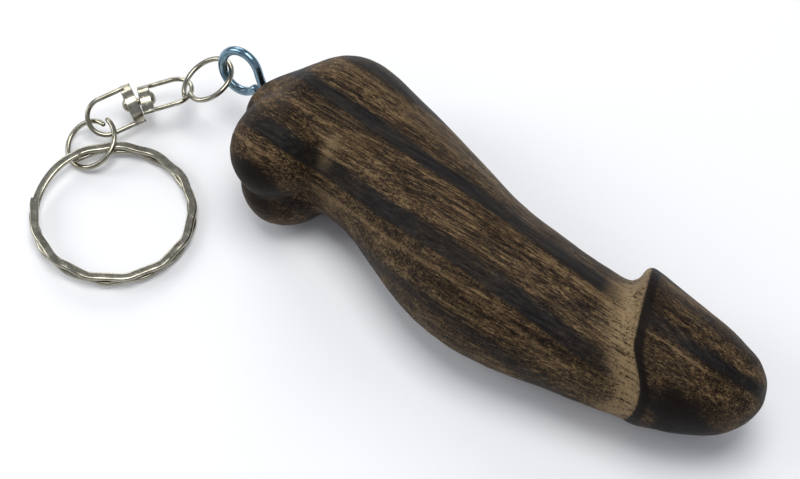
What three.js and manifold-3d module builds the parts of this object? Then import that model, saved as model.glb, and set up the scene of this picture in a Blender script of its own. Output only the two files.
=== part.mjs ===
// A carved wooden charm on a keychain: screw eye, two jump rings, a swivel and a split ring.
// Millimetres, +Z up. The charm lies on its side on z = 0, with its grain and the screw eye's
// shank along X (tip towards +X) and the back of its bend towards +Y.
import * as THREE from "three";
import { ParametricGeometry } from "three/addons/geometries/ParametricGeometry.js";
import { mergeVertices } from "three/addons/utils/BufferGeometryUtils.js";
import Module from "manifold-3d";

const wasm = await Module();
wasm.setup();

// ---- Driving dimensions -------------------------------------------------------------------

// Carved body
const AXIS_HEIGHT = 12.9; // height of the charm's mirror plane above the surface it lies on
const SIDE_RATIO = 0.92; // side half-width of the shaft over its half-depth
const BASE_END_X = -57; // rounded end that holds the screw eye
const LOBE = { x: 9.2, y: 10.8, z: 8.7 }; // half-axes of each lobe at the base
const LOBE_MIDDLE = { x: -43.7, y: 0.3 }; // between the two lobes' centres
const LOBE_APART = { x: -0.6, y: -0.3, z: 4.5 }; // upper lobe's centre, from that middle
const HEAD_X = 28.6; // middle of the head's raised rim
const HEAD_Y = 3.8;
const HEAD_LENGTH = 24.4; // rim to tip
const HEAD_RADIUS = 12.8;
const HEAD_SIDE_RATIO = 1.0;
const RIM_TILT = THREE.MathUtils.degToRad(20); // the rim leans back on the +Y side
// How much further the rim runs towards the tip on the -Y side, on its upper and lower half
const RIM_SWEEP = { upper: 6, lower: -1.2 };
const TIP_RISE = 1.5; // of the head's tip towards +Y
const PILOT_RADIUS = 1.35;
const PILOT_DEPTH = 12;

// Screw eye
const EYE_WIRE = 1.7;
const EYE_RADIUS = 4.22; // to the middle of the wire
const EYE_BASE = new THREE.Vector3(-56.6, 10.6, 12.4); // where the shank leaves the wood
const EYE_MIDDLE = { x: 6.1, y: 0.9 }; // of the eye's circle, from where the shank leaves the wood
const EYE_TILT = THREE.MathUtils.degToRad(72); // of the eye's plane, about the shank
const SHANK_LENGTH = 11; // inside the wood
const THREAD_PITCH = 1.4;

// Jump rings
const LINK_WIRE = 1.0;
const LINK_RADIUS = 4.9; // to the middle of the wire
const LINK_LAP = 1.25; // how far one end stands outside the other

// Swivel
const SWIVEL_WIRE = 0.95;
const SWIVEL_WIDTH = 8; // over the two legs
const SWIVEL_LENGTH = 10.8; // mating plane to the end of a loop
const CUP_RADIUS = 2.4;
const CUP_HEIGHT = 2.0;
const CUP_FLOOR = 0.7;
const CUP_WALL = 0.45;
const MATING_GAP = 0.3; // each cup's face, from the mating plane
const RIVET_RADIUS = 0.75;
const RIVET_HOLE = 1.15;
const RIVET_HEAD = 1.4;
const RIVET_PLAY = 0.35; // under each head

// Split ring
const SPLIT_OUTER = 15.5;
const SPLIT_WIDTH = 1.9; // of the patterned wire, across its waves
const SPLIT_THICK = 0.95; // of the flat wire, along the ring's axis
const SPLIT_PITCH = 1.12; // from one coil to the next
const SPLIT_WINDOW = THREE.MathUtils.degToRad(46); // arc where only the joining wire runs

// Places of the loose pieces: a centre, the ring's normal, and a second direction
const LARGE_RING = {
  centre: [-68.1, 7.65, 10.0],
  normal: [-0.39, -0.18, 0.9],
  ends: [-0.4, -0.85, -0.34],
};
const SMALL_RING = {
  centre: [-81.0, -12.85, 2.43],
  normal: [-0.215, -0.335, 0.93],
  ends: [0.01, 0.95, 0.31],
};
const SPLIT_RING = {
  centre: [-67.95, -22.35, 2.03],
  normal: [0.049, 0.034, 1],
  ends: [-0.95, -0.07, 0],
};
const MATING_CENTRE = [-78.2, -1.4, 5.2];
const RIVET_AXIS = { centre: MATING_CENTRE, along: [-0.56, -0.82, -0.1], across: [0, 0, 1] };
const REAR_HALF = {
  centre: MATING_CENTRE,
  along: [0.63, 0.765, 0.1],
  across: [-0.71, 0.67, -0.23],
};
const FRONT_HALF = {
  centre: MATING_CENTRE,
  along: [-0.5, -0.86, -0.13],
  across: [-0.785, 0.335, 0.52],
};

// ---- Materials ----------------------------------------------------------------------------

const metal = (color, roughness) => new THREE.MeshStandardMaterial({ color, roughness, metalness: 1 });
const WOOD = new THREE.MeshStandardMaterial({ color: 0x5a422b, roughness: 0.7, metalness: 0 });
const ZINC = metal(0x9fb4bd, 0.3);
const NICKEL = metal(0xb9b4a6, 0.22);

// ---- Helpers ------------------------------------------------------------------------------

// A manifold solid from a closed geometry, whose poles may hold triangles without area.
function solidOf(geometry) {
  const bare = geometry.clone();
  bare.deleteAttribute("normal");
  bare.deleteAttribute("uv");
  const merged = mergeVertices(bare, 1e-4);
  const triVerts = [];
  for (let i = 0; i < merged.index.count; i += 3) {
    const corners = [0, 1, 2].map((k) => merged.index.getX(i + k));
    if (new Set(corners).size === 3) triVerts.push(...corners);
  }
  return new wasm.Manifold(
    new wasm.Mesh({
      numProp: 3,
      vertProperties: merged.attributes.position.array,
      triVerts: Uint32Array.from(triVerts),
    }),
  );
}

function geometryOf(solid) {
  const { vertProperties, triVerts } = solid.getMesh();
  const geometry = new THREE.BufferGeometry();
  geometry.setAttribute("position", new THREE.BufferAttribute(vertProperties, 3));
  geometry.setIndex(new THREE.BufferAttribute(triVerts, 1));
  geometry.computeVertexNormals();
  return geometry;
}

function named(name, geometry, material) {
  const mesh = new THREE.Mesh(geometry, material);
  mesh.name = name;
  return mesh;
}

// Turns a piece made around its own origin so that its x and z axes lie along these directions.
function place(mesh, centre, xDirection, zDirection) {
  const z = new THREE.Vector3(...zDirection).normalize();
  const x = new THREE.Vector3(...xDirection);
  x.addScaledVector(z, -x.dot(z)).normalize();
  const y = new THREE.Vector3().crossVectors(z, x);
  mesh.quaternion.setFromRotationMatrix(new THREE.Matrix4().makeBasis(x, y, z));
  mesh.position.set(...centre);
  return mesh;
}

function roundSection(radius, sides) {
  const points = [];
  for (let i = 0; i < sides; i++) {
    const angle = ((i + 0.5) * 2 * Math.PI) / sides;
    points.push(new THREE.Vector2(radius * Math.cos(angle), radius * Math.sin(angle)));
  }
  return new THREE.Shape(points);
}

function wireAlong(path, section, steps) {
  return new THREE.ExtrudeGeometry(section, { extrudePath: path, steps, bevelEnabled: false });
}

// A curve given by a formula for its point at t from 0 to 1.
class FormulaCurve extends THREE.Curve {
  constructor(formula) {
    super();
    this.formula = formula;
  }
  getPoint(t, target = new THREE.Vector3()) {
    return target.set(...this.formula(t));
  }
}

// ---- Carved body --------------------------------------------------------------------------

// Middle of the shaft and its half-depth, from the base end to inside the head.
const SHAFT_STATIONS = [
  { x: BASE_END_X, y: 7.2, half: 0 },
  { x: -56.5, y: 7.4, half: 3.0 },
  { x: -54.9, y: 7.6, half: 5.2 },
  { x: -51, y: 8.4, half: 9.0 },
  { x: -46, y: 9.8, half: 13.5 },
  { x: -41, y: 10.5, half: 14.8 },
  { x: -36, y: 10.2, half: 14.6 },
  { x: -32, y: 9.6, half: 14.2 },
  { x: -24, y: 7.4, half: 14.1 },
  { x: -12, y: 3.0, half: 14.8 },
  { x: -2, y: 0.0, half: 14.6 },
  { x: 8, y: -0.6, half: 13.8 },
  { x: 18, y: -0.2, half: 12.4 },
  { x: 28, y: 0.8, half: 11.6 },
  { x: 34, y: 1.6, half: 10.6 },
  { x: 39, y: 2.4, half: 8.4 },
  { x: 41.5, y: 3.0, half: 0 },
];

// A closed loft of ovals, square to X, through stations of middle and half-depth.
function shaftSolid() {
  const spline = (key) =>
    new THREE.SplineCurve(SHAFT_STATIONS.map((s, i) => new THREE.Vector2(i, s[key])));
  const [xs, ys, halves] = ["x", "y", "half"].map(spline);
  const around = 32;
  const along = 42;
  const surface = (u, v, target) => {
    const angle = u * 2 * Math.PI;
    const end = v === 0 || v === 1;
    const half = end ? 0 : Math.max(halves.getPoint(v).y, 0.2);
    target.set(
      xs.getPoint(v).y,
      ys.getPoint(v).y + half * Math.cos(angle),
      AXIS_HEIGHT + half * SIDE_RATIO * Math.sin(angle),
    );
  };
  return solidOf(new ParametricGeometry(surface, around, along));
}

// The head: a lathe profile, widened to an oval and sheared so that its rim leans back.
function headSolid() {
  const rim = HEAD_RADIUS;
  const profile = [
    [0, -2.6],
    [rim * 0.7, -2.4],
    [rim * 0.92, -1.3],
    [rim * 0.99, -0.3],
    [rim, 0.4],
    [rim * 0.985, 2.5],
    [rim * 0.935, 5.5],
    [rim * 0.87, 9.5],
    [rim * 0.79, 13.2],
    [rim * 0.7, 16.6],
    [rim * 0.56, 20.2],
    [rim * 0.34, 23.0],
    [0, HEAD_LENGTH],
  ];
  const lathe = new THREE.LatheGeometry(profile.map(([r, x]) => new THREE.Vector2(r, x)), 36);
  const position = lathe.attributes.position;
  for (let i = 0; i < position.count; i++) {
    const along = position.getY(i);
    const deep = position.getX(i);
    const lean = 1 - Math.max(along / HEAD_LENGTH, 0) ** 1.5;
    const upper = (1 - position.getZ(i) / rim) / 2;
    const reach = THREE.MathUtils.lerp(RIM_SWEEP.lower, RIM_SWEEP.upper, upper);
    const sweep = reach * THREE.MathUtils.smoothstep(-deep / rim, 0.45, 1.1);
    position.setXYZ(
      i,
      HEAD_X + along + (sweep - Math.tan(RIM_TILT) * deep) * lean,
      HEAD_Y + deep + TIP_RISE * (Math.max(along, 0) / HEAD_LENGTH) ** 2,
      AXIS_HEIGHT - position.getZ(i) * HEAD_SIDE_RATIO,
    );
  }
  return solidOf(lathe);
}

function lobeSolid(side) {
  const sphere = new THREE.SphereGeometry(1, 24, 14);
  sphere.scale(LOBE.x, LOBE.y, LOBE.z);
  sphere.translate(
    LOBE_MIDDLE.x + side * LOBE_APART.x,
    LOBE_MIDDLE.y + side * LOBE_APART.y,
    AXIS_HEIGHT + side * LOBE_APART.z,
  );
  return solidOf(sphere);
}

// Everything below the surface that the charm lies on, which leaves its flat rest patches.
function belowFloorSolid() {
  const box = new THREE.BoxGeometry(200, 100, 20);
  box.translate(0, 0, -10);
  return solidOf(box);
}

function pilotHoleSolid() {
  const drill = new THREE.CylinderGeometry(PILOT_RADIUS, PILOT_RADIUS, PILOT_DEPTH + 4, 16);
  drill.rotateZ(Math.PI / 2);
  drill.translate(EYE_BASE.x + PILOT_DEPTH / 2 - 2, EYE_BASE.y, EYE_BASE.z);
  return solidOf(drill);
}

function carvedBody() {
  const body = shaftSolid()
    .add(headSolid())
    .add(lobeSolid(1))
    .add(lobeSolid(-1))
    .subtract(belowFloorSolid())
    .subtract(pilotHoleSolid());
  return named("carved_body", geometryOf(body), WOOD);
}

// ---- Screw eye ----------------------------------------------------------------------------

// Made with its shank along -x from the origin and its eye on the +x side, in the xy plane.
function screwEye() {
  const points = [];
  for (const x of [-SHANK_LENGTH, -7, -3, -0.6]) points.push(new THREE.Vector3(x, 0, 0));
  points.push(new THREE.Vector3(0.6, 0.5, 0));
  const first = THREE.MathUtils.degToRad(142);
  const last = THREE.MathUtils.degToRad(-158);
  const turns = 12;
  for (let i = 0; i <= turns; i++) {
    const angle = first + ((last - first) * i) / turns;
    points.push(
      new THREE.Vector3(
        EYE_MIDDLE.x + EYE_RADIUS * Math.cos(angle),
        EYE_MIDDLE.y + EYE_RADIUS * Math.sin(angle),
        0,
      ),
    );
  }
  const wire = wireAlong(new THREE.CatmullRomCurve3(points), roundSection(EYE_WIRE / 2, 8), 52);
  const coils = 6.5;
  const thread = new FormulaCurve((t) => {
    const angle = t * coils * 2 * Math.PI;
    const radius = EYE_WIRE / 2 - 0.05;
    const along = -SHANK_LENGTH + 0.8 + t * coils * THREAD_PITCH;
    return [along, radius * Math.cos(angle), radius * Math.sin(angle)];
  });
  const ridge = wireAlong(thread, roundSection(0.28, 4), 64);
  const eye = named("screw_eye", geometryOf(solidOf(wire).add(solidOf(ridge))), ZINC);
  const normal = [0, Math.sin(EYE_TILT), -Math.cos(EYE_TILT)];
  return place(eye, EYE_BASE.toArray(), [-1, 0, 0], normal);
}

// ---- Jump rings ---------------------------------------------------------------------------

// A ring bent from round wire, whose ends lap side by side at its own +x.
function jumpRing(name, { centre, normal, ends }) {
  const lap = THREE.MathUtils.degToRad(4);
  const path = new FormulaCurve((t) => {
    const angle = lap / -2 + t * (2 * Math.PI + lap);
    const near = Math.max(Math.abs(2 * t - 1) - 0.55, 0) / 0.45;
    const radius = LINK_RADIUS + Math.sign(t - 0.5) * (LINK_LAP / 2) * near ** 2;
    return [radius * Math.cos(angle), radius * Math.sin(angle), 0];
  });
  const ring = named(name, wireAlong(path, roundSection(LINK_WIRE / 2, 8), 44), NICKEL);
  return place(ring, centre, ends, normal);
}

// ---- Swivel -------------------------------------------------------------------------------

// Both halves are alike: a cup on the mating plane and a loop of wire, which runs along +x.
function swivelHalf(name, { centre, along, across }) {
  const legY = (SWIVEL_WIDTH - SWIVEL_WIRE) / 2;
  const bendX = SWIVEL_LENGTH - SWIVEL_WIRE / 2 - legY;
  const cupTop = MATING_GAP + CUP_HEIGHT;
  const leg = [
    [MATING_GAP + 1.0, 1.9],
    [MATING_GAP + 1.0, 2.7],
    [MATING_GAP + 1.5, legY - 0.15],
    [MATING_GAP + 3.0, legY],
    [bendX * 0.75, legY],
  ];
  const points = leg.map(([x, y]) => new THREE.Vector3(x, y, 0));
  const bends = 6;
  for (let i = 0; i <= bends; i++) {
    const angle = Math.PI / 2 - (Math.PI * i) / bends;
    points.push(new THREE.Vector3(bendX + legY * Math.cos(angle), legY * Math.sin(angle), 0));
  }
  for (const [x, y] of [...leg].reverse()) points.push(new THREE.Vector3(x, -y, 0));
  const loop = wireAlong(new THREE.CatmullRomCurve3(points), roundSection(SWIVEL_WIRE / 2, 8), 46);
  const cupProfile = [
    [RIVET_HOLE, MATING_GAP],
    [CUP_RADIUS, MATING_GAP],
    [CUP_RADIUS, cupTop],
    [CUP_RADIUS - CUP_WALL, cupTop],
    [CUP_RADIUS - CUP_WALL, MATING_GAP + CUP_FLOOR],
    [RIVET_HOLE, MATING_GAP + CUP_FLOOR],
    [RIVET_HOLE, MATING_GAP],
  ];
  const cup = new THREE.LatheGeometry(cupProfile.map(([r, x]) => new THREE.Vector2(r, x)), 24);
  cup.rotateZ(-Math.PI / 2);
  const bore = new THREE.CylinderGeometry(CUP_RADIUS - CUP_WALL, CUP_RADIUS - CUP_WALL, 6, 24);
  bore.rotateZ(-Math.PI / 2);
  bore.translate(MATING_GAP + CUP_FLOOR + 3, 0, 0);
  const half = named(name, geometryOf(solidOf(cup).add(solidOf(loop).subtract(solidOf(bore)))), NICKEL);
  const x = new THREE.Vector3(...along).normalize();
  const normal = new THREE.Vector3().crossVectors(x, new THREE.Vector3(...across));
  return place(half, centre, along, normal.toArray());
}

// The rivet's two domed heads sit in the two cups. It is made along x.
function swivelRivet({ centre, along, across }) {
  const seat = MATING_GAP + CUP_FLOOR + RIVET_PLAY;
  const end = (side) => [
    [RIVET_RADIUS, side * seat],
    [RIVET_HEAD, side * seat],
    [RIVET_HEAD, side * (seat + 1.0)],
    [RIVET_HEAD * 0.72, side * (seat + 1.6)],
    [0, side * (seat + 1.9)],
  ];
  const profile = [...end(-1).reverse(), ...end(1)];
  const lathe = new THREE.LatheGeometry(profile.map(([r, x]) => new THREE.Vector2(r, x)), 20);
  lathe.rotateZ(-Math.PI / 2);
  return place(named("swivel_rivet", geometryOf(solidOf(lathe)), NICKEL), centre, along, across);
}

// ---- Split ring ---------------------------------------------------------------------------

// Two coils of flat wire, joined by one wire that steps down inside the window at +x.
function splitRing() {
  const radius = SPLIT_OUTER - SPLIT_WIDTH / 2;
  const coil = 2 * Math.PI - SPLIT_WINDOW;
  const total = 2 * coil + SPLIT_WINDOW;
  const path = new FormulaCurve((t) => {
    const turned = t * total;
    const angle = SPLIT_WINDOW / 2 + turned;
    const step = THREE.MathUtils.smoothstep(turned, coil, coil + SPLIT_WINDOW);
    return [radius * Math.cos(angle), radius * Math.sin(angle), SPLIT_PITCH * (0.5 - step)];
  });
  const w = SPLIT_WIDTH / 2;
  const h = SPLIT_THICK / 2;
  const section = new THREE.Shape(
    [[-h, -w], [h, -w], [h, w], [-h, w]].map(([x, y]) => new THREE.Vector2(x, y)),
  );
  const ring = named("split_ring", wireAlong(path, section, 132), NICKEL);
  return place(ring, SPLIT_RING.centre, SPLIT_RING.ends, SPLIT_RING.normal);
}

// ---- The keychain -------------------------------------------------------------------------

const keychain = new THREE.Group();
keychain.add(
  carvedBody(),
  screwEye(),
  jumpRing("large_jump_ring", LARGE_RING),
  swivelHalf("swivel_rear_loop", REAR_HALF),
  swivelRivet(RIVET_AXIS),
  swivelHalf("swivel_front_loop", FRONT_HALF),
  jumpRing("small_jump_ring", SMALL_RING),
  splitRing(),
);

export default keychain;
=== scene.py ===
"""A keychain with a carved wooden charm: camera, light, fine meshes and materials.

Lengths are in millimetres and become metres where a mesh is made. The row frame has +X along the
wood's grain, from the screw eye to the tip, +Y towards the back of the charm's bend and +Z up.
"""

import math

import bpy
import numpy as np
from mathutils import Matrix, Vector, noise


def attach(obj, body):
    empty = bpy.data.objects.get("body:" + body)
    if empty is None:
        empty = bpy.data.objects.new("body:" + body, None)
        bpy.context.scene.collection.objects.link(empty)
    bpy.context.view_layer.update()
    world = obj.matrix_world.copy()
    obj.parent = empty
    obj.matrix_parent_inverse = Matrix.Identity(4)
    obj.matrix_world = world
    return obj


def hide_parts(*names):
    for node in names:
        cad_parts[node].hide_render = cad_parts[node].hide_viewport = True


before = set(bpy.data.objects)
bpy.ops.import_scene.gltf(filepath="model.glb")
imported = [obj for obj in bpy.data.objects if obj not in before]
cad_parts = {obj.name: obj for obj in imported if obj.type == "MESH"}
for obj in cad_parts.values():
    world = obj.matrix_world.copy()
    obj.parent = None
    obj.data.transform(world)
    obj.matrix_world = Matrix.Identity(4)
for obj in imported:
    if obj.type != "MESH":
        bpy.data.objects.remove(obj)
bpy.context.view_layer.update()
MM = 0.001

# ---- Driving dimensions ---------------------------------------------------------------------

VIEW_AZIMUTH, VIEW_ELEVATION = 35.0, 57.5
VIEW_AIM = (-17.0, -2.5, 13.0)
VIEW_DISTANCE = 395.5
VIEW_LENS = 100.0

# Carved body
AXIS_HEIGHT = 12.9
# x and y of the middle of the shaft
SHAFT_BEND = ((-57, 7.2), (-41, 10.3), (-24, 7.2), (-2, 0.0), (18, -0.2), (40, 2.6))
HEAD_X, HEAD_Y, HEAD_RADIUS = 28.6, 3.8, 12.8
RIM_TILT = math.radians(20)
# How much further ahead the rim runs on the -Y side, at its top and at its bottom
RIM_SWEEP = {"upper": 6.0, "lower": -1.2}
VOXEL = 0.36
RIDGES = (20, 79, 137, 190, 250, 310)  # degrees round the shaft where two carved facets meet
FACET_DEPTH = 0.4

# Screw eye
EYE_WIRE, EYE_RADIUS = 1.7, 4.22
EYE_BASE = (-56.6, 10.6, 12.4)
EYE_MIDDLE = (6.1, 0.9)
EYE_TILT = math.radians(72)
SHANK_LENGTH, THREAD_PITCH = 11.0, 1.4

# Jump rings
LINK_WIRE, LINK_RADIUS, LINK_LAP = 1.0, 4.9, 1.25
LARGE_RING = {
    "centre": (-68.1, 7.65, 10.0),
    "normal": (-0.39, -0.18, 0.9),
    "ends": (-0.4, -0.85, -0.34),
}
SMALL_RING = {
    "centre": (-81.0, -12.85, 2.43),
    "normal": (-0.215, -0.335, 0.93),
    "ends": (0.01, 0.95, 0.31),
}

# Swivel
SWIVEL_WIRE, SWIVEL_WIDTH, SWIVEL_LENGTH = 0.95, 8.0, 10.8
CUP_RADIUS, CUP_HEIGHT, CUP_FLOOR, CUP_WALL = 2.4, 2.0, 0.7, 0.45
MATING_GAP = 0.3
RIVET_RADIUS, RIVET_HOLE, RIVET_HEAD, RIVET_PLAY = 0.75, 1.15, 1.4, 0.35
MATING_CENTRE = (-78.2, -1.4, 5.2)
RIVET_AXIS = (-0.56, -0.82, -0.1)
REAR_HALF = {"along": (0.63, 0.765, 0.1), "across": (-0.71, 0.67, -0.23)}
FRONT_HALF = {"along": (-0.5, -0.86, -0.13), "across": (-0.785, 0.335, 0.52)}

# Split ring
SPLIT_OUTER, SPLIT_WIDTH, SPLIT_THICK, SPLIT_PITCH = 15.5, 1.9, 0.95, 1.12
SPLIT_WIRE = 1.6  # width of the flat wire itself; its waves make up the rest of SPLIT_WIDTH
SPLIT_WINDOW = math.radians(46)
SPLIT_WAVES = 13
SPLIT_RING = {
    "centre": (-67.95, -22.35, 2.03),
    "normal": (0.049, 0.034, 1),
    "ends": (-0.95, -0.07, 0),
}


# ---- Camera, floor and light ----------------------------------------------------------------


def set_camera():
    azimuth, elevation = math.radians(VIEW_AZIMUTH), math.radians(VIEW_ELEVATION)
    back = Vector(
        (
            math.cos(elevation) * math.sin(azimuth),
            -math.cos(elevation) * math.cos(azimuth),
            math.sin(elevation),
        )
    )
    camera = bpy.data.objects.new("camera", bpy.data.cameras.new("camera"))
    camera.data.lens = VIEW_LENS
    camera.data.clip_start = 0.01
    camera.location = (Vector(VIEW_AIM) + back * VIEW_DISTANCE) * MM
    camera.rotation_euler = back.to_track_quat("Z", "Y").to_euler()
    bpy.context.collection.objects.link(camera)
    bpy.context.scene.camera = camera


def area_light(name, place, aim, size, power):
    data = bpy.data.lights.new(name, "AREA")
    data.shape = "RECTANGLE"
    data.size, data.size_y = size
    data.energy = power
    light = bpy.data.objects.new(name, data)
    light.location = place
    light.rotation_euler = (Vector(place) - Vector(aim)).to_track_quat("Z", "Y").to_euler()
    bpy.context.collection.objects.link(light)


def set_stage():
    size = 3.0
    mesh = bpy.data.meshes.new("floor")
    corners = [(-size, -size, 0), (size, -size, 0), (size, size, 0), (-size, size, 0)]
    mesh.from_pydata(corners, [], [(0, 1, 2, 3)])
    floor = bpy.data.objects.new("floor", mesh)
    bpy.context.collection.objects.link(floor)
    paper = bpy.data.materials.new("pale_floor")
    paper.use_nodes = True
    shader = paper.node_tree.nodes["Principled BSDF"]
    shader.inputs["Base Color"].default_value = (0.95, 0.95, 0.95, 1)
    shader.inputs["Roughness"].default_value = 0.9
    shader.inputs["Specular IOR Level"].default_value = 0.1
    mesh.materials.append(paper)

    world = bpy.data.worlds.new("studio")
    world.use_nodes = True
    world.node_tree.nodes["Background"].inputs["Color"].default_value = (0.86, 0.9, 1.0, 1)
    world.node_tree.nodes["Background"].inputs["Strength"].default_value = 0.42
    bpy.context.scene.world = world
    bpy.context.scene.view_settings.view_transform = "Standard"

    aim = (-0.01, 0, 0.01)
    area_light("back_box", (-0.75, 0.6, 0.45), aim, (0.6, 0.4), 2.9)
    area_light("top_box", (0.0, 0.05, 0.9), aim, (0.5, 0.5), 4.1)
    area_light("side_box", (-0.7, -0.35, 0.45), aim, (0.4, 0.5), 2.3)


# ---- Mesh helpers ---------------------------------------------------------------------------


def make_piece(name, points, faces, body, replaces, material):
    """One object from points in millimetres, shaded smooth where its faces meet gently."""
    mesh = bpy.data.meshes.new(name)
    mesh.from_pydata([tuple(p) for p in np.asarray(points) * MM], [], faces)
    mesh.validate()
    for polygon in mesh.polygons:
        polygon.use_smooth = True
    mesh.set_sharp_from_angle(angle=math.radians(42))
    mesh.materials.append(material)
    piece = bpy.data.objects.new(name, mesh)
    bpy.context.collection.objects.link(piece)
    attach(piece, body)
    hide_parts(*replaces)
    return piece


def unit(vector):
    vector = np.array(vector, float)
    return vector / np.linalg.norm(vector)


def placed(points, centre, x_direction, z_direction):
    """Points made round their own origin, with x and z turned to these directions."""
    z = unit(z_direction)
    x = np.array(x_direction, float)
    x = unit(x - z * (x @ z))
    return np.asarray(points) @ np.array([x, np.cross(z, x), z]) + np.array(centre)


def smoothstep(low, high, value):
    t = np.clip((value - low) / (high - low), 0, 1)
    return t * t * (3 - 2 * t)


def grid_faces(rows, columns, closed_rows=False):
    """Quads of a tube whose rings are rows of columns points, with its ends closed."""
    faces = []
    for i in range(rows if closed_rows else rows - 1):
        for j in range(columns):
            k = (j + 1) % columns
            a, b = i * columns, (i + 1) % rows * columns
            faces.append((a + j, a + k, b + k, b + j))
    if not closed_rows:
        faces.append(tuple(reversed(range(columns))))
        faces.append(tuple(range((rows - 1) * columns, rows * columns)))
    return faces


def tube(path, section, up=(0, 0, 1)):
    """Sweeps a section along a path in the plane square to up. section(i) gives ring i's points."""
    path = np.asarray(path, float)
    up = unit(up)
    ahead = np.gradient(path, axis=0)
    rings = []
    for i, (point, direction) in enumerate(zip(path, ahead)):
        direction = unit(direction)
        side = unit(np.cross(up, direction))
        top = np.cross(direction, side)
        rings.append([point + side * u + top * v for u, v in section(i)])
    return np.concatenate(rings), grid_faces(len(path), len(rings[0]))


def circle(radius, count):
    return [
        (radius * math.cos(2 * math.pi * k / count), radius * math.sin(2 * math.pi * k / count))
        for k in range(count)
    ]


def round_wire(count_path, radius, sides=20, taper=4, end_size=0.72):
    """A round section whose first and last rings shrink, so that the wire's ends are dressed."""
    shrink = [end_size + (1 - end_size) * math.sqrt(1 - (1 - k / taper) ** 2) for k in range(taper)]

    def section(i):
        near = min(i, count_path - 1 - i)
        return circle(radius * (shrink[near] if near < taper else 1), sides)

    return section


def joined(parts):
    """Several (points, faces) as one."""
    points, faces, start = [], [], 0
    for part_points, part_faces in parts:
        points.append(part_points)
        faces += [tuple(v + start for v in face) for face in part_faces]
        start += len(part_points)
    return np.concatenate(points), faces


# ---- Node materials -------------------------------------------------------------------------


def srgb(red, green, blue):
    """A colour given in 0 to 255 display values, as the linear colour that a shader takes."""
    shares = (red / 255, green / 255, blue / 255)
    linear = [v / 12.92 if v <= 0.04045 else ((v + 0.055) / 1.055) ** 2.4 for v in shares]
    return (*linear, 1.0)


class Nodes:
    """Short names for the nodes that these materials are made of."""

    def __init__(self, name):
        self.material = bpy.data.materials.new(name)
        self.material.use_nodes = True
        self.tree = self.material.node_tree
        self.shader = self.tree.nodes["Principled BSDF"]
        coordinates = self.tree.nodes.new("ShaderNodeTexCoord")
        self.point = self.vector_math("SCALE", coordinates.outputs["Object"], scale=1 / MM)

    def put(self, value, socket):
        if isinstance(value, bpy.types.NodeSocket):
            self.tree.links.new(value, socket)
        else:
            socket.default_value = value

    def vector_math(self, operation, a, b=None, scale=None):
        node = self.tree.nodes.new("ShaderNodeVectorMath")
        node.operation = operation
        self.put(a, node.inputs[0])
        if b is not None:
            self.put(b, node.inputs[1])
        if scale is not None:
            node.inputs["Scale"].default_value = scale
        return node.outputs["Value"] if operation == "DOT_PRODUCT" else node.outputs[0]

    def math(self, operation, a, b=0.0, c=0.0, clamp=False):
        node = self.tree.nodes.new("ShaderNodeMath")
        node.operation = operation
        node.use_clamp = clamp
        for value, socket in zip((a, b, c), node.inputs):
            self.put(value, socket)
        return node.outputs[0]

    def noise(self, stretch, detail=2.0, roughness=0.5, point=None):
        """Fractal noise from 0 to 1, with stretch features for each millimetre along x, y and z."""
        node = self.tree.nodes.new("ShaderNodeTexNoise")
        self.put(self.vector_math("MULTIPLY", point or self.point, stretch), node.inputs["Vector"])
        node.inputs["Scale"].default_value = 1.0
        node.inputs["Detail"].default_value = detail
        node.inputs["Roughness"].default_value = roughness
        return node.outputs["Fac"]

    def step(self, value, low, high):
        """0 below low, 1 above high and smooth between; falls instead where low is over high."""
        node = self.tree.nodes.new("ShaderNodeMapRange")
        node.interpolation_type = "SMOOTHSTEP"
        self.put(value, node.inputs["Value"])
        rising = low < high
        node.inputs["From Min"].default_value = min(low, high)
        node.inputs["From Max"].default_value = max(low, high)
        node.inputs["To Min"].default_value = 0.0 if rising else 1.0
        node.inputs["To Max"].default_value = 1.0 if rising else 0.0
        return node.outputs[0]

    def ramp(self, value, stops):
        node = self.tree.nodes.new("ShaderNodeValToRGB")
        self.put(value, node.inputs[0])
        elements = node.color_ramp.elements
        while len(elements) < len(stops):
            elements.new(0.5)
        for element, (at, colour) in zip(elements, stops):
            element.position = at
            element.color = colour
        return node.outputs[0]

    def mix(self, share, a, b):
        node = self.tree.nodes.new("ShaderNodeMix")
        node.data_type = "RGBA"
        self.put(share, node.inputs["Factor"])
        colours = [socket for socket in node.inputs if socket.type == "RGBA"]
        self.put(a, colours[0])
        self.put(b, colours[1])
        return next(socket for socket in node.outputs if socket.type == "RGBA")

    def attribute(self, name):
        node = self.tree.nodes.new("ShaderNodeAttribute")
        node.attribute_name = name
        return node.outputs["Fac"]

    def bump(self, height, strength, distance):
        node = self.tree.nodes.new("ShaderNodeBump")
        self.put(height, node.inputs["Height"])
        node.inputs["Strength"].default_value = strength
        node.inputs["Distance"].default_value = distance * MM
        return node.outputs[0]


# Layers in the wood are planes that hold the grain. layer = LAYER_TURN . (x, y, z), in millimetres.
LAYER_TURN = (0.08, math.cos(math.radians(26)), math.sin(math.radians(26)))
# Dark layers: middle, half-thickness, darkness. Each has a crisp lower side and a soft upper one.
DARK_LAYERS = (
    (24.4, 1.2, 0.9),
    (20.6, 0.3, 0.4),
    (15.9, 1.25, 1.0),
    (9.8, 0.3, 0.35),
    (4.9, 1.8, 1.0),
    (-4.2, 1.0, 0.75),
    (-11.5, 1.6, 0.7),
)
LIGHT_LAYERS = ((22.3, 0.4, 0.45), (13.9, 0.28, 0.75), (8.2, 0.2, 0.35), (0.9, 0.4, 0.6))


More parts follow.
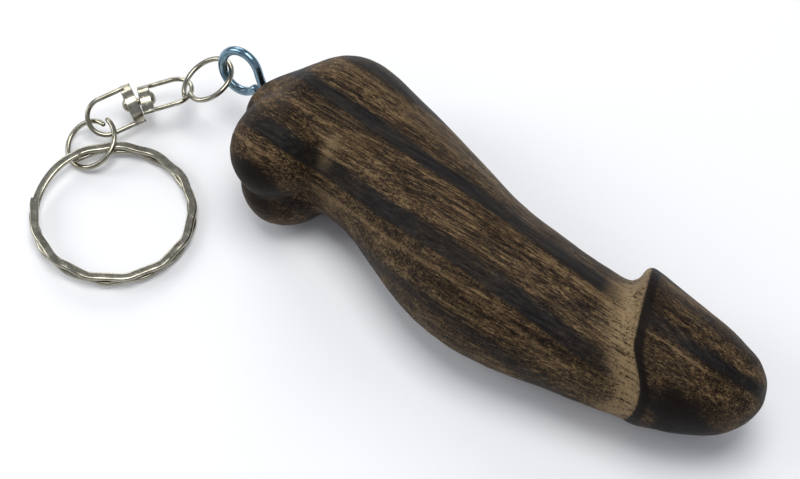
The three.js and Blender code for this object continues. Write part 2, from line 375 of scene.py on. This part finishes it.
def wood_material():
    n = Nodes("stained_wood")
    elsewhere = n.vector_math("ADD", n.point, (3.1, 17.0, 5.0))
    warp = n.noise((0.02, 0.05, 0.05), detail=1)
    fibre = n.noise((0.05, 1.5, 1.5), detail=4, roughness=0.62)
    thread = n.noise((0.18, 5.0, 5.0), detail=3, roughness=0.6)
    pores = n.noise((0.42, 4.2, 4.2), detail=2, roughness=0.55, point=elsewhere)
    across = n.noise((3.4, 0.8, 0.8), detail=3, roughness=0.6)
    mottle = n.noise((0.3, 0.45, 0.45), detail=4, roughness=0.65)
    speckle = n.noise((2.2, 4.5, 4.5), detail=2, roughness=0.6, point=elsewhere)

    layer = n.vector_math("DOT_PRODUCT", n.point, LAYER_TURN)
    layer = n.math("MULTIPLY_ADD", warp, 2.4, n.math("ADD", layer, -1.2))
    ragged = n.math("MULTIPLY_ADD", fibre, 1.5, n.math("ADD", layer, -0.75))
    ragged = n.math("MULTIPLY_ADD", thread, 0.9, n.math("ADD", ragged, -0.45))

    # Plain wood: brown to tan by broad layers, then by fibres
    broad = n.noise((0.006, 0.24, 0.24), detail=2)
    tone = n.math("MULTIPLY_ADD", n.math("ADD", fibre, -0.5), 1.4, broad)
    tone = n.math("MULTIPLY_ADD", n.math("ADD", thread, -0.5), 1.8, tone)
    tone = n.math("MULTIPLY_ADD", n.math("ADD", mottle, -0.5), 0.6, tone)
    tone = n.math("MULTIPLY_ADD", n.math("ADD", speckle, -0.5), 1.1, tone)
    colour = n.ramp(
        tone,
        [
            (0.1, srgb(20, 14, 9)),
            (0.38, srgb(47, 35, 23)),
            (0.55, srgb(70, 54, 36)),
            (0.72, srgb(90, 72, 49)),
            (0.95, srgb(124, 102, 72)),
        ],
    )

    # Long dark threads
    vessels = n.noise((0.03, 2.3, 2.3), detail=2, roughness=0.5, point=elsewhere)
    colour = n.mix(n.math("MULTIPLY", n.step(vessels, 0.57, 0.68), 0.55), colour, srgb(22, 16, 11))

    # Dark and light layers
    dark = None
    for middle, half, darkness in DARK_LAYERS:
        rise = n.step(ragged, middle - half, middle - half + 0.5)
        fall = n.step(ragged, middle + half + 0.9, middle + half - 0.6)
        band = n.math("MULTIPLY", n.math("MULTIPLY", rise, fall), darkness)
        dark = band if dark is None else n.math("MAXIMUM", dark, band)
    uneven = n.step(n.noise((0.05, 0.12, 0.12), detail=2), 0.22, 0.55)
    dark = n.math("MULTIPLY", dark, n.math("MULTIPLY_ADD", uneven, 0.45, 0.55))
    dark = n.math("MULTIPLY", dark, n.attribute("layer_share"))
    light = None
    for middle, half, lightness in LIGHT_LAYERS:
        rise = n.step(ragged, middle - half - 0.15, middle)
        fall = n.step(ragged, middle + half + 0.15, middle)
        band = n.math("MULTIPLY", n.math("MULTIPLY", rise, fall), lightness)
        light = band if light is None else n.math("MAXIMUM", light, band)
    light = n.math("MULTIPLY", light, n.step(n.noise((0.03, 0.1, 0.1), detail=1), 0.35, 0.6))
    colour = n.mix(light, colour, srgb(126, 103, 74))
    darkened = n.ramp(fibre, [(0.3, srgb(9, 9, 10)), (0.7, srgb(38, 36, 35))])
    colour = n.mix(n.math("MULTIPLY", dark, 0.95), colour, darkened)

    # Pale sanded places, and charred ones with painted shade in creases, hollows and on the lower
    # side
    bare = n.math("MULTIPLY", n.attribute("pale"), n.step(tone, 0.1, 0.55))
    colour = n.mix(bare, colour, srgb(138, 117, 86))
    # Charred places and painted shade share this near-black brown
    burnt_and_shaded = n.math("MULTIPLY_ADD", n.math("ADD", mottle, -0.5), 0.8, n.attribute("darkened"))
    burnt_and_shaded = n.math("MULTIPLY", n.step(burnt_and_shaded, 0.1, 0.85), 0.96)
    colour = n.mix(burnt_and_shaded, colour, srgb(18, 13, 9))

    # Flecks across the grain, then pores along it
    crossed = n.attribute("crossed")
    clear = n.math("SUBTRACT", 1.0, n.math("MAXIMUM", dark, burnt_and_shaded), clamp=True)
    lit = n.math("MULTIPLY", n.math("MULTIPLY", n.step(across, 0.54, 0.68), crossed), clear)
    colour = n.mix(n.math("MULTIPLY", lit, 0.3), colour, srgb(124, 103, 74))
    cut = n.math("MULTIPLY", n.step(across, 0.46, 0.32), crossed)
    colour = n.mix(n.math("MULTIPLY", cut, 0.5), colour, srgb(24, 17, 12))
    depth = n.math("MULTIPLY_ADD", n.attribute("pale"), -0.42, 0.78)
    pore = n.math("MULTIPLY", n.step(pores, 0.57, 0.66), depth)
    colour = n.mix(pore, colour, srgb(18, 13, 9))

    n.put(colour, n.shader.inputs["Base Color"])
    gloss = n.math("MULTIPLY_ADD", thread, 0.22, n.math("MULTIPLY_ADD", dark, -0.06, 0.42))
    n.put(gloss, n.shader.inputs["Roughness"])
    n.shader.inputs["Specular IOR Level"].default_value = 0.08
    height = n.math("MULTIPLY_ADD", thread, 0.5, n.math("MULTIPLY", pore, -0.9))
    height = n.math("MULTIPLY_ADD", fibre, 0.8, height)
    height = n.math("MULTIPLY_ADD", across, 0.15, height)
    n.put(n.bump(height, 0.55, 0.12), n.shader.inputs["Normal"])
    return n.material


def plated_material(name, bright, worn, roughness):
    """Plated wire: drawn lines along it are too fine to see, so faint clouding, pits and scuffs."""
    n = Nodes(name)
    cloud = n.noise((0.5, 0.5, 0.5), detail=3)
    scuff = n.noise((1.1, 2.7, 6.0), detail=4, roughness=0.65)
    pits = n.noise((5.5, 5.5, 5.5), detail=2)
    colour = n.mix(n.step(cloud, 0.35, 0.7), bright, worn)
    colour = n.mix(n.math("MULTIPLY", n.step(pits, 0.66, 0.76), 0.5), colour, srgb(70, 66, 58))
    n.put(colour, n.shader.inputs["Base Color"])
    n.shader.inputs["Metallic"].default_value = 1.0
    rough = n.math("MULTIPLY_ADD", n.step(scuff, 0.4, 0.75), 0.16, roughness)
    n.put(rough, n.shader.inputs["Roughness"])
    height = n.math("MULTIPLY_ADD", pits, 0.5, scuff)
    n.put(n.bump(height, 0.05, 0.05), n.shader.inputs["Normal"])
    return n.material


# ---- Carved body ----------------------------------------------------------------------------


def remeshed(points, faces, voxel):
    """Even quads over the outside of overlapping closed shapes, as arrays of points and quads."""
    mesh = bpy.data.meshes.new("blank")
    mesh.from_pydata([tuple(p) for p in points], [], faces)
    blank = bpy.data.objects.new("blank", mesh)
    bpy.context.collection.objects.link(blank)
    modifier = blank.modifiers.new("remesh", "REMESH")
    modifier.mode = "VOXEL"
    modifier.voxel_size = voxel
    evaluated = blank.evaluated_get(bpy.context.evaluated_depsgraph_get())
    made = evaluated.to_mesh()
    out = np.empty(len(made.vertices) * 3)
    made.vertices.foreach_get("co", out)
    quads = [tuple(p.vertices) for p in made.polygons]
    evaluated.to_mesh_clear()
    bpy.data.objects.remove(blank)
    return out.reshape(-1, 3), quads


class Surface:
    """Points and faces with neighbour averages and normals, for shaping."""

    def __init__(self, points, faces):
        self.points = points
        self.faces = faces
        pairs = {tuple(sorted((f[i], f[(i + 1) % len(f)]))) for f in faces for i in range(len(f))}
        self.edges = np.array(sorted(pairs))
        self.degree = np.bincount(self.edges.ravel(), minlength=len(points))[:, None]
        self.corners = np.array([f if len(f) == 4 else (*f, f[0]) for f in faces])

    def average(self, values):
        here, there = self.edges.T
        columns = []
        for column in values.T:
            total = np.bincount(here, column[there], len(column))
            columns.append(total + np.bincount(there, column[here], len(column)))
        return np.stack(columns, axis=1) / self.degree

    def smoothed(self, values, times, rate=0.5):
        for _ in range(times):
            values = values + rate * (self.average(values) - values)
        return values

    def normals(self):
        p = self.points[self.corners]
        face = np.cross(p[:, 2] - p[:, 0], p[:, 3] - p[:, 1])
        total = np.zeros_like(self.points)
        for k in range(4):
            np.add.at(total, self.corners[:, k], face)
        return total / np.linalg.norm(total, axis=1, keepdims=True)


def plug(radius, start, end, y, z, sides=24):
    """A closed rod along x."""
    path = [(x, y, z) for x in np.linspace(start, end, 6)]
    return tube(path, lambda i: circle(radius, sides))


def rim_distance(points):
    """How far each point is behind (below 0) or ahead of the head's rim, along x."""
    deep = points[:, 1] - HEAD_Y
    upper = np.clip((points[:, 2] - AXIS_HEIGHT) / HEAD_RADIUS / 2 + 0.5, 0, 1)
    reach = RIM_SWEEP["lower"] + (RIM_SWEEP["upper"] - RIM_SWEEP["lower"]) * upper
    sweep = reach * smoothstep(0.45, 1.1, -deep / HEAD_RADIUS)
    return points[:, 0] - (HEAD_X + sweep - math.tan(RIM_TILT) * deep)


def blob(points, middle, size):
    """1 at the middle and falling smoothly to 0 at about the size from it."""
    away = (points - np.array(middle)) / np.array(size)
    return np.exp(-1.6 * (away**2).sum(1))


def clouds(points, scale, offset=0.0):
    """Smooth noise from -1 to 1 at each point."""
    shift = Vector((offset, 2 * offset, -offset))
    return np.array([noise.noise(Vector(p) * scale + shift) for p in points])


def carved_points():
    """The CAD body without its pilot hole, rounded, faceted and uneven as a knife leaves it."""
    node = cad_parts["carved_body"].data
    points = np.array([v.co for v in node.vertices]) / MM
    faces = [tuple(p.vertices) for p in node.polygons]
    filler = plug(1.7, EYE_BASE[0] + 1.6, EYE_BASE[0] + 14, EYE_BASE[1], EYE_BASE[2])
    surface = Surface(*remeshed(*joined([(points, faces), filler]), VOXEL))
    surface.points = surface.smoothed(surface.points, 6)
    at_tip = smoothstep(40, 46, surface.points[:, 0])[:, None]
    rounded = surface.smoothed(surface.points, 50)
    surface.points = surface.points + at_tip * (rounded - surface.points)

    # The knife leaves a hollow fillet behind the rim and a smaller one along the creases
    behind = rim_distance(surface.points)
    at_neck = smoothstep(-12, -5, behind) * smoothstep(1, -0.5, behind)
    base_end = smoothstep(-38, -43, surface.points[:, 0])
    at_neck = at_neck * smoothstep(3, 11, surface.points[:, 2])
    crease = blob(surface.points, (-34, -3, 19), (4, 6, 8))
    soft = 0.12 + 0.88 * np.maximum(at_neck, base_end) - 0.55 * crease * (1 - base_end)
    for times, share in ((90, soft), (260, base_end)):
        normals = surface.normals()
        full = surface.smoothed(surface.points, times)
        fill = np.maximum(((full - surface.points) * normals).sum(1), 0)
        surface.points = surface.points + normals * (fill * share)[:, None]

    # Facets round the shaft, whose ridges run along it
    bend_x, bend_y = zip(*SHAFT_BEND)
    middle_y = np.interp(surface.points[:, 0], bend_x, bend_y)
    up, out = surface.points[:, 2] - AXIS_HEIGHT, surface.points[:, 1] - middle_y
    angle = np.degrees(np.arctan2(up, out)) % 360
    ridges = np.array([*RIDGES, RIDGES[0] + 360])
    angle = np.where(angle < ridges[0], angle + 360, angle)
    where = np.clip(np.searchsorted(ridges, angle, side="right") - 1, 0, len(ridges) - 2)
    span = ridges[where + 1] - ridges[where]
    across = (angle - ridges[where]) / span
    hollow = FACET_DEPTH * (span / 60) ** 2 * (1 - (2 * across - 1) ** 2)
    on_shaft = smoothstep(-34, -26, surface.points[:, 0]) * smoothstep(-1, -4, behind)
    on_head = 0.6 * smoothstep(1, 5, behind) * smoothstep(50, 43, surface.points[:, 0])
    hollow = surface.smoothed((hollow * (on_shaft + on_head))[:, None], 3)[:, 0]

    # Uneven knife and sanding marks
    uneven = 0.22 * clouds(surface.points, 0.07) + 0.1 * clouds(surface.points, 0.2, 5.0)
    normals = surface.normals()
    surface.points = surface.points + normals * (uneven - hollow)[:, None]
    surface.points[:, 2] = np.maximum(surface.points[:, 2], 0.0)
    return surface


def add_shades(mesh, surface):
    """Where the wood is pale from sanding or charred, where shade is painted into creases, hollows
    and lower sides, and where its dark layers show.
    """
    p = surface.points
    behind = rim_distance(p)
    side = p[:, 1] - np.interp(p[:, 0], *zip(*SHAFT_BEND))
    neck = smoothstep(-8.5, -2.5, behind) * smoothstep(0.4, -0.7, behind)
    patch = blob(p, (-34.5, -0.3, 24.5), (1.9, 3.4, 4))
    notch = blob(p, (-31, -6.5, 18), (2.2, 3.5, 7))
    golden = blob(p, (-8, 13.5, 19), (14, 4, 6))
    # The sanded neck is pale, with painted shade making it less pale towards the bottom
    sanded_and_shaded = (0.9 - 0.3 * smoothstep(9, 3, p[:, 2])) * neck
    pale = sanded_and_shaded + 0.9 * patch + 0.45 * notch + 0.5 * golden
    ridge = smoothstep(1.9, 0.6, behind) + 0.45 * smoothstep(7, 1, behind)
    ridge = smoothstep(-0.7, 0.2, behind) * ridge
    lobe = 1.4 * blob(p, (-44.5, -11, 17.5), (7.5, 6, 6.5))
    # Painted shade on the lobe's underside, below its dark patch
    lobe = lobe + 0.5 * blob(p, (-43, -11, 11), (6, 5, 4))
    # Painted shade: the crease between base and shaft and the hollows of the base are darkened
    crease = blob(p, (-38.5, -1, 22), (3, 4, 4))
    hollow = ((surface.smoothed(p, 14) - p) * surface.normals()).sum(1)
    crevice = smoothstep(0.03, 0.1, hollow) * smoothstep(-26, -31, p[:, 0])
    # Painted shade: the head's lower side, the lower flank of the shaft and its wood near the floor
    # are darkened
    lower_head = smoothstep(-1, -9, side) + 0.8 * smoothstep(-6, -11, side)
    lower_head = lower_head * smoothstep(2, 8, behind)
    low = 0.25 * smoothstep(-5, -11, side) + 0.35 * smoothstep(9, 4, p[:, 2])
    belly = low * smoothstep(-32, -12, p[:, 0]) * smoothstep(-2, -6, behind)
    darkened = 0.95 * ridge + 0.95 * lobe + 0.5 * crease + 0.8 * lower_head + belly + 0.3 * crevice
    darkened = darkened * (1 - 0.9 * neck) * (1 - 0.9 * patch) * (1 - 0.5 * notch)
    share = 1 - 0.92 * neck - 0.85 * patch
    flank = smoothstep(-2, -8, side) * smoothstep(-36, -30, p[:, 0])
    crossed = np.maximum(flank, 0.5 * neck)
    shades = {"pale": pale, "darkened": darkened, "layer_share": share, "crossed": crossed}
    for name, values in shades.items():
        layer = mesh.attributes.new(name, "FLOAT", "POINT")
        layer.data.foreach_set("value", np.clip(values, 0, 1).astype(np.float32))


def make_wood(material):
    surface = carved_points()
    points, faces = surface.points, surface.faces
    piece = make_piece(
        "charm_wood", points, faces, "charm", ["carved_body"], material
    )
    add_shades(piece.data, surface)


# ---- Metal pieces ---------------------------------------------------------------------------


def make_screw_eye(material):
    middle = np.array(EYE_MIDDLE)
    start, end = math.radians(142), math.radians(-158)
    angles = np.linspace(start, end, 90)
    circled = [(EYE_RADIUS * math.cos(a), EYE_RADIUS * math.sin(a)) for a in angles]
    loop = [(middle[0] + x, middle[1] + y, 0) for x, y in circled]
    leaving = np.array([-math.sin(start), math.cos(start), 0.0])
    a, d = np.zeros(3), np.array(loop[0])
    b, c = np.array([1.1, 0.0, 0.0]), d + 1.1 * leaving
    neck = []
    for t in np.linspace(0, 1, 14)[:-1]:
        near = (1 - t) ** 3 * a + 3 * (1 - t) ** 2 * t * b
        neck.append(near + 3 * (1 - t) * t * t * c + t**3 * d)
    shank = [(x, 0, 0) for x in np.linspace(-SHANK_LENGTH, -0.4, 20)]
    path = np.array([*shank, *neck, *loop])
    parts = [tube(path, round_wire(len(path), EYE_WIRE / 2, sides=24, taper=3))]
    turns = 6.5
    t = np.linspace(0, 1, 160)
    helix = np.stack(
        [
            -SHANK_LENGTH + 0.8 + t * turns * THREAD_PITCH,
            (EYE_WIRE / 2 - 0.02) * np.cos(t * turns * 2 * math.pi),
            (EYE_WIRE / 2 - 0.02) * np.sin(t * turns * 2 * math.pi),
        ],
        axis=1,
    )
    parts.append(tube(helix, lambda i: circle(0.22, 8), up=(1, 0, 0)))
    points, faces = joined(parts)
    normal = (0, math.sin(EYE_TILT), -math.cos(EYE_TILT))
    points = placed(points, EYE_BASE, (-1, 0, 0), normal)
    make_piece("eye_wire", points, faces, "charm", ["screw_eye"], material)


def make_jump_ring(name, ring, body, node, material):
    lap = math.radians(4)
    count = 150
    t = np.linspace(0, 1, count)
    angle = -lap / 2 + t * (2 * math.pi + lap)
    near = np.maximum(np.abs(2 * t - 1) - 0.55, 0) / 0.45
    radius = LINK_RADIUS + np.sign(t - 0.5) * (LINK_LAP / 2) * near**2
    path = np.stack([radius * np.cos(angle), radius * np.sin(angle), 0 * t], axis=1)
    points, faces = tube(path, round_wire(count, LINK_WIRE / 2))
    points = placed(points, ring["centre"], ring["ends"], ring["normal"])
    make_piece(name, points, faces, body, [node], material)


def cup_outline(angle):
    """How far the swivel's band reaches from its middle: a lens with a thin ear at each end."""
    ear_end, ear_half, lens_end = SWIVEL_WIDTH / 2, 0.3, 3.7
    low, high = 0.0, ear_end / max(abs(math.cos(angle)), 1e-6)
    high = min(high, ear_end * 1.2)

    def half_height(y):
        lens = CUP_RADIUS * max(1 - (y / lens_end) ** 2, 0) ** 0.8
        return (lens**4 + ear_half**4) ** 0.25

    for _ in range(40):
        reach = (low + high) / 2
        if reach * abs(math.sin(angle)) < half_height(reach * math.cos(angle)):
            low = reach
        else:
            high = reach
    return low


def swivel_cup():
    """The stamped band with its rivet hole and recess, along +x from the mating gap."""
    count = 144
    bevel = 0.1
    bottom, top = MATING_GAP, MATING_GAP + CUP_HEIGHT + 0.15
    floor = MATING_GAP + CUP_FLOOR
    bore = CUP_RADIUS - CUP_WALL
    rings = []
    for k in range(count):
        angle = 2 * math.pi * k / count
        reach = cup_outline(angle)
        hollow = min(bore, reach - 0.05)
        profile = [
            (RIVET_HOLE, bottom),
            (reach - bevel, bottom),
            (reach, bottom + bevel),
            (reach, top - bevel),
            (reach - bevel, top),
            (hollow + bevel * 0.5, top),
            (hollow, top - bevel * 0.5),
            (hollow, floor),
            (RIVET_HOLE, floor),
        ]
        rings.append([(x, r * math.cos(angle), r * math.sin(angle)) for r, x in profile])
    return np.array(rings).reshape(-1, 3), grid_faces(count, len(rings[0]), closed_rows=True)


def swivel_bail():
    """The wire loop, which starts flat in the ears and is round beyond them."""
    leg = (SWIVEL_WIDTH - SWIVEL_WIRE) / 2
    bend = SWIVEL_LENGTH - SWIVEL_WIRE / 2 - leg
    rise = np.linspace(MATING_GAP + 0.25, bend, 30)
    arc = np.linspace(math.pi / 2, -math.pi / 2, 50)[1:-1]
    one = [(x, leg + 0.12 * (1 - float(smoothstep(0.8, 3.2, x))), 0) for x in rise]
    curve = [(bend + leg * math.cos(a), leg * math.sin(a), 0) for a in arc]
    other = [(x, -y, 0) for x, y, _ in reversed(one)]
    path = np.array([*one, *curve, *other])

    def section(i):
        grown = float(smoothstep(1.6, 3.4, path[i][0]))
        wide = 0.36 + (SWIVEL_WIRE / 2 - 0.36) * grown
        return [(wide * u, wide * v) for u, v in circle(1.0, 18)]

    return tube(path, section)


def make_swivel_half(name, half, body, node, material):
    points, faces = joined([swivel_cup(), swivel_bail()])
    normal = np.cross(unit(half["along"]), np.array(half["across"]))
    points = placed(points, MATING_CENTRE, half["along"], normal)
    make_piece(name, points, faces, body, [node], material)


def make_rivet(material):
    seat = MATING_GAP + CUP_FLOOR + RIVET_PLAY
    dome = [
        (RIVET_HEAD * math.cos(a), seat + 0.75 + 1.15 * math.sin(a))
        for a in np.linspace(0, math.pi / 2, 10)
    ]
    side = [(RIVET_RADIUS, seat), (RIVET_HEAD - 0.12, seat), (RIVET_HEAD, seat + 0.12), *dome]
    side[-1] = (0.02, side[-1][1])
    profile = [*[(r, -x) for r, x in reversed(side)], *side]
    count = 48
    turns = [2 * math.pi * k / count for k in range(count)]
    rings = [[(x, r * math.cos(a), r * math.sin(a)) for a in turns] for r, x in profile]
    points = placed(np.array(rings).reshape(-1, 3), MATING_CENTRE, RIVET_AXIS, (0, 0, 1))
    faces = grid_faces(len(profile), count)
    make_piece("rivet_domes", points, faces, "rear_half", ["swivel_rivet"], material)


def make_split_ring(material):
    """Two coils of flat wire whose waves run against each other, and the plain wire between."""
    radius = SPLIT_OUTER - SPLIT_WIDTH / 2
    coil = 2 * math.pi - SPLIT_WINDOW
    total = 2 * coil + SPLIT_WINDOW
    count = 900
    turned = np.linspace(0, total, count)
    angle = SPLIT_WINDOW / 2 + turned
    step = smoothstep(coil, coil + SPLIT_WINDOW, turned)
    phase = turned / (2 * math.pi) * SPLIT_WAVES + 0.5 * step
    wave = np.cos(2 * math.pi * phase)
    from_window = np.abs(turned - (coil + SPLIT_WINDOW / 2)) - SPLIT_WINDOW / 2
    patterned = smoothstep(0, 0.06, from_window - 0.05)
    middle = radius + (SPLIT_WIDTH - SPLIT_WIRE) / 2 * wave * patterned
    height = SPLIT_PITCH * (0.5 - step)
    path = np.stack([middle * np.cos(angle), middle * np.sin(angle), height], axis=1)
    half_width, half_thick, corner = SPLIT_WIRE / 2, SPLIT_THICK / 2, 0.38

    def section(i):
        pinch = 1 - 0.1 * patterned[i] * wave[i] ** 2
        w, h = half_width, half_thick * pinch
        points = []
        for sx, sy, start in ((1, 1, 0), (-1, 1, 90), (-1, -1, 180), (1, -1, 270)):
            for turn in (0, 18, 36, 54, 72, 90):
                a = math.radians(start + turn)
                x = sx * (w - corner) + corner * math.cos(a)
                points.append((x, sy * (h - corner) + corner * math.sin(a)))
        return points

    points, faces = tube(path, section)
    points = placed(points, SPLIT_RING["centre"], SPLIT_RING["ends"], SPLIT_RING["normal"])
    make_piece("key_coils", points, faces, "key_ring", ["split_ring"], material)


# ---- The keychain ---------------------------------------------------------------------------

set_camera()
set_stage()
nickel = plated_material("nickel_wire", srgb(170, 166, 150), srgb(140, 135, 119), 0.15)
zinc = plated_material("zinc_wire", srgb(132, 158, 172), srgb(98, 126, 144), 0.16)
make_wood(wood_material())
make_screw_eye(zinc)
make_jump_ring("large_link", LARGE_RING, "large_ring", "large_jump_ring", nickel)
make_swivel_half("rear_bail", REAR_HALF, "rear_half", "swivel_rear_loop", nickel)
make_rivet(nickel)
make_swivel_half("front_bail", FRONT_HALF, "front_half", "swivel_front_loop", nickel)
make_jump_ring("small_link", SMALL_RING, "small_ring", "small_jump_ring", nickel)
make_split_ring(nickel)
